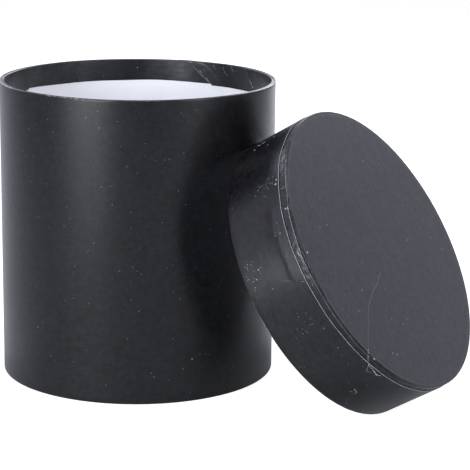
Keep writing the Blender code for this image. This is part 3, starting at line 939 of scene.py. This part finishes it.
def lid_top_paper():
    """The disc over the top of the lid, turned down over the edge in glued tabs.

    A ridge runs round the band below the fold, with a groove above it, where the top board meets the
    ring, and a softer, wider one below it. Each tab edge is a small step that slants down the band.
    The disc is pressed down in a ring near its edge, and the hair hangs over the edge onto the band.
    """
    busy = np.concatenate([np.arange(-140.0, -92.0, 4.0), TAB_EDGES])
    angles = columns_round(760, np.radians(busy), reach=math.radians(2.0), gain=1.8)
    hidden = (STRIP_TOP - 1.5 * MM - SKIRT_FOOT) / (LID_HEIGHT - FOLD - SKIRT_FOOT)
    skirt = np.concatenate([hidden * even(6), hidden + (1.0 - hidden) * even(40)[1:]])
    disc = np.concatenate([0.05 * even(14), 0.05 + 0.95 * crowded(28, 0.3, 1.0)[1:]])
    face = Face([(SKIRT_RADIUS, SKIRT_FOOT), (SKIRT_RADIUS, LID_HEIGHT), (0.0, LID_HEIGHT)],
                [skirt, disc])
    height = face.height
    top = smooth(0.9, 1.0, face.zone)
    side = 1.0 - smooth(0.1, 0.4, face.zone)
    shown = side * smooth(STRIP_TOP - 1.0 * MM, STRIP_TOP, height)
    pressed = bell(face.radius, PRESSED_RING, PRESSED_WIDTH) * top
    lift = disc_ripple(angles, face.radius, 17, size=0.02 * MM, turns=6, wave=60 * MM) * top
    lift -= PRESSED_DEPTH * pressed

    ridge_at = by_angle(angles, RIDGE_TURNS, RIDGE_HEIGHTS) * MM
    ridge = by_angle(angles, [-150, -141, -60, -45, 45, 60, 150], [0.3, 1, 1, 0.4, 0.2, 1, 0.6])
    groove_at = np.minimum(ridge_at + GROOVE_RISE, GROOVE_LIMIT)
    groove_deep = by_angle(angles, [-140, -118, -95, -40, 0], [0.42, 0.50, 0.62, 0.62, 0.42]) * MM
    lift -= groove_deep * bell(height, groove_at, GROOVE_WIDTH) * side
    lift += ridge * RIDGE_LIFT * bell(height, ridge_at, RIDGE_WIDTH) * side
    lower_at = ridge_at - by_angle(angles, [-100, -92, -76, -60], [0.7, 0.7, 1.3, 1.5]) * MM
    lower_wide = by_angle(angles, [-100, -92, -76, -60, -40], [0.25, 0.3, 0.45, 0.7, 0.7]) * MM
    lower_deep = by_angle(angles, [-140, -110, -100, -92, -76, -30, 0],
                          [0.14, 0.14, 0.18, 0.26, 0.30, 0.30, 0.1]) * MM
    lift -= lower_deep * bell(height, lower_at, lower_wide) * side
    lift += ripple(angles, height, 37, size=0.05 * MM, turns=140, wave=4 * MM) * shown

    draw = np.random.default_rng(19)
    worn = np.zeros(lift.shape)
    for place in TAB_EDGES:
        apart = turn_apart(angles, math.radians(place)) * SKIRT_RADIUS
        past_edge = apart - draw.uniform(-0.3, 0.3) * (height - LID_HEIGHT)
        step = plateau(past_edge, -TAB_EDGE_WIDTH, TAB_EDGE_WIDTH, 2 * MM, 14 * MM)
        lift += draw.uniform(0.08, 0.2) * MM * step * side
        worn += 0.5 * bell(past_edge, 0.0, TAB_EDGE_WIDTH) * side * draw.uniform(0.3, 1.0)
    # Wear along the ridge, with a painted highlight where its flank catches light.
    rubbing_and_painted_light = by_angle(angles, RIDGE_WEAR_AND_HIGHLIGHT_TURNS, RIDGE_WEAR_AND_HIGHLIGHT)
    worn += rubbing_and_painted_light * bell(height, ridge_at, BAND_MARK_WIDTH) * side
    for strength, places in BAND_SPOTS:
        worn += strength * side * stroke(angles, height, places, SKIRT_RADIUS, BAND_MARK_WIDTH)
    patchy = beats(angles, 0.5, 0.5, (17, 2.3), (9, 0.4))
    worn += 0.2 * patchy * face.on_fold(0.5)

    # Painted highlights: a glint along the ridge, and a faint light ring where the disc is pressed.
    glint = by_angle(angles, [-100, -96, -80, -60, -50], [0, 0.35, 0.30, 0.2, 0])
    scuffed = 0.03 * pressed + glint * bell(height, ridge_at, GLINT_WIDTH) * side
    band_scuffs = by_angle(angles, [-160, -140, -118, -100, -88, -50], [0, 0.02, 0.04, 0.05, 0.02, 0])
    scuffed += band_scuffs * shown
    scuffed += 0.6 * side * stroke(angles, height, HAIR_ON_BAND, SKIRT_RADIUS, HANGING_WIDTH)
    light_spot = stroke(angles, height, HAIR_END, SKIRT_RADIUS, LIGHT_SPOT_WIDTH)
    scuffed += 0.7 * light_spot * (face.zone == 0.5)
    dusty = bell(np.degrees(angles), -141.0, 5.0) * shown
    piece = paper_sheet("lid_top_paper", LEANING, face, angles, lift,
                        worn=worn, scuffed=scuffed, dusty=dusty)
    hair = [(along * MM, sideways * MM) for along, sideways in HAIR_ON_DISC]
    flecks = [((x * MM, y * MM, LID_HEIGHT), size * MM, strength)
              for x, y, size, strength in DISC_FLECKS]
    flecks += on_round(BAND_FLECKS, SKIRT_RADIUS)
    paper = covering_paper("covering_lid_top", LEANING, 4, 0.92, flecks, (hair, HAIR_WIDTH),
                           streaks=(0.8, 13.0, 2.0), mottled=0.0090)
    dress(piece, "lid_top_cover", "lid", paper)


def lid_wall_lining():
    """The white sheet on the inner wall of the lid, tucked behind the hem."""
    angles = columns_round(420, [math.radians(150)])
    bore = LID_BORE + BEHIND_HEM
    face = Face([(bore, LID_CEILING), (bore, LID_HEM - TUCKED_EDGE)], [even(22)])
    lift = ripple(angles, face.height, 23, size=0.02 * MM, turns=12, wave=30 * MM) - 0.02 * MM
    piece = paper_sheet("lid_wall_lining", LEANING, face, angles, lift)
    dress(piece, "lid_wall_liner", "lid", lining_paper("lining_lid_wall", 3))


def lid_top_lining():
    """The white disc inside the top of the lid."""
    angles = columns_round(300)
    face = Face([(0.0, LID_CEILING), (LID_BORE - CORNER_GAP, LID_CEILING)], [even(36)])
    lift = disc_ripple(angles, face.radius, 29, size=0.03 * MM, turns=6, wave=50 * MM)
    piece = paper_sheet("lid_top_lining", LEANING, face, angles, lift)
    dress(piece, "lid_top_liner", "lid", lining_paper("lining_lid_top", 4))


def board_pieces():
    """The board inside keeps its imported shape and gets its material."""
    for seed, node in enumerate(("box_tube", "box_base_board", "lid_ring", "lid_top_board")):
        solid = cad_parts[node]
        solid.data.materials.clear()
        solid.data.materials.append(bare_board(node + "_board", seed))


# Camera, floor and light

CAMERA_PLACE = Vector((668.24, -1091.85, 401.13)) * MM
CAMERA_RIGHT = Vector((0.878161, 0.478237, 0.011102))
CAMERA_FORWARD = Vector((-0.462811, 0.855248, -0.233148))
CAMERA_LENS = 143.18
CAMERA_FILM = 36.0
CAMERA_SIGHT = 50.0
FLOOR_REACH = 8.0
FLOOR_PAPER = (0.79, 0.80, 0.83, 1.0)
FLOOR_SHADOWED = (0.45, 0.45, 0.45, 1.0)
FLOOR_GLOW = 0.9
SURROUND = (0.93, 0.945, 1.09, 1.0)
DARK_ROOM = (0.05, 0.05, 0.055, 1.0)
WHITE = (1.0, 1.0, 1.0, 1.0)
COOL_LIGHT = (0.935, 0.955, 1.0)
BLUE_LIGHT = (0.80, 0.87, 1.02)
LIGHT_AIM = Vector((0.0, 0.0, 0.12))


def photograph_camera():
    """The camera at the photograph's viewing angle."""
    data = bpy.data.cameras.new("photograph")
    data.lens = CAMERA_LENS
    data.sensor_width = CAMERA_FILM
    data.clip_end = CAMERA_SIGHT
    camera = new_object("photograph", data)
    up = CAMERA_RIGHT.cross(CAMERA_FORWARD)
    turn = Matrix((CAMERA_RIGHT, up, -CAMERA_FORWARD)).transposed()
    camera.matrix_world = Matrix.Translation(CAMERA_PLACE) @ turn.to_4x4()
    bpy.context.scene.camera = camera


def studio_floor():
    """A wide white floor, as bright as paper to the lamps and white to the camera, with the shadow."""
    mesh = bpy.data.meshes.new("studio_floor")
    corners = [(FLOOR_REACH * x, FLOOR_REACH * y, 0.0) for x, y in ((-1, -1), (1, -1), (1, 1), (-1, 1))]
    mesh.from_pydata(corners, [], [(0, 1, 2, 3)])
    floor = new_object("studio_floor", mesh)
    material, nodes = new_material("studio_floor")
    seen = nodes.add("ShaderNodeLightPath", output="Is Camera Ray")
    plain = nodes.add("ShaderNodeBsdfDiffuse", Color=FLOOR_PAPER)
    shown = nodes.add("ShaderNodeBsdfDiffuse", Color=FLOOR_SHADOWED)
    glow = nodes.add("ShaderNodeEmission", Color=WHITE, Strength=FLOOR_GLOW)
    white = nodes.add("ShaderNodeAddShader", i0=shown, i1=glow)
    nodes.finish(nodes.add("ShaderNodeMixShader", i0=seen, i1=plain, i2=white))
    mesh.materials.append(material)


def studio_world():
    """White to the camera, near white in reflections, and nearly dark for everything else."""
    world = bpy.data.worlds.new("studio")
    bpy.context.scene.world = world
    world.use_nodes = True
    nodes = Nodes(world.node_tree)
    path = nodes.add("ShaderNodeLightPath").node
    mirrored = nodes.math("MAXIMUM", path.outputs["Is Glossy Ray"], path.outputs["Is Transmission Ray"])
    light = nodes.mix(mirrored, DARK_ROOM, SURROUND)
    light = nodes.mix(path.outputs["Is Camera Ray"], light, WHITE)
    nodes.finish(nodes.add("ShaderNodeBackground", Color=light, Strength=1.0), "ShaderNodeOutputWorld")


def soft_light(name, turn, distance, height, size, power, tint=COOL_LIGHT):
    """A soft panel that faces the object, placed by its turn from the camera's side, in degrees.

    Distance, height and the panel's width and height are metres, the power is watts, and its light
    has a faint tint.
    """
    data = bpy.data.lights.new(name, "AREA")
    data.shape = "RECTANGLE"
    data.size = size[0]
    data.size_y = size[1]
    data.energy = power
    data.color = tint
    light = new_object(name, data)
    side = math.atan2(-CAMERA_FORWARD.y, -CAMERA_FORWARD.x) + math.radians(turn)
    light.location = (distance * math.cos(side), distance * math.sin(side), height)
    light.rotation_euler = (LIGHT_AIM - light.location).to_track_quat("-Z", "Y").to_euler()


def studio_lights():
    """Panels on the left, behind, on the right and above, and a bluer one behind on the left."""
    soft_light("soft_left", -36, 2.5, 0.60, (1.2, 1.2), 56.0)
    soft_light("soft_left_low", -36, 2.5, 0.25, (1.2, 0.4), 7.0)
    soft_light("soft_left_near", -50, 1.6, 0.35, (0.4, 0.6), 2.7)
    soft_light("soft_left_back", -130, 1.5, 0.80, (0.5, 0.8), 6.6, BLUE_LIGHT)
    soft_light("soft_back", 152, 1.5, 0.80, (0.5, 0.8), 17.0)
    soft_light("soft_right", 50, 1.5, 0.60, (0.4, 0.8), 11.4)
    soft_light("soft_top", 0, 0.4, 2.00, (1.0, 1.0), 26.6)


photograph_camera()
studio_floor()
studio_world()
studio_lights()
board_pieces()
box_side_paper()
box_base_paper()
box_wall_lining()
box_floor_lining()
lid_side_paper()
lid_top_paper()
lid_wall_lining()
lid_top_lining()
bpy.context.scene.view_settings.view_transform = "Standard"
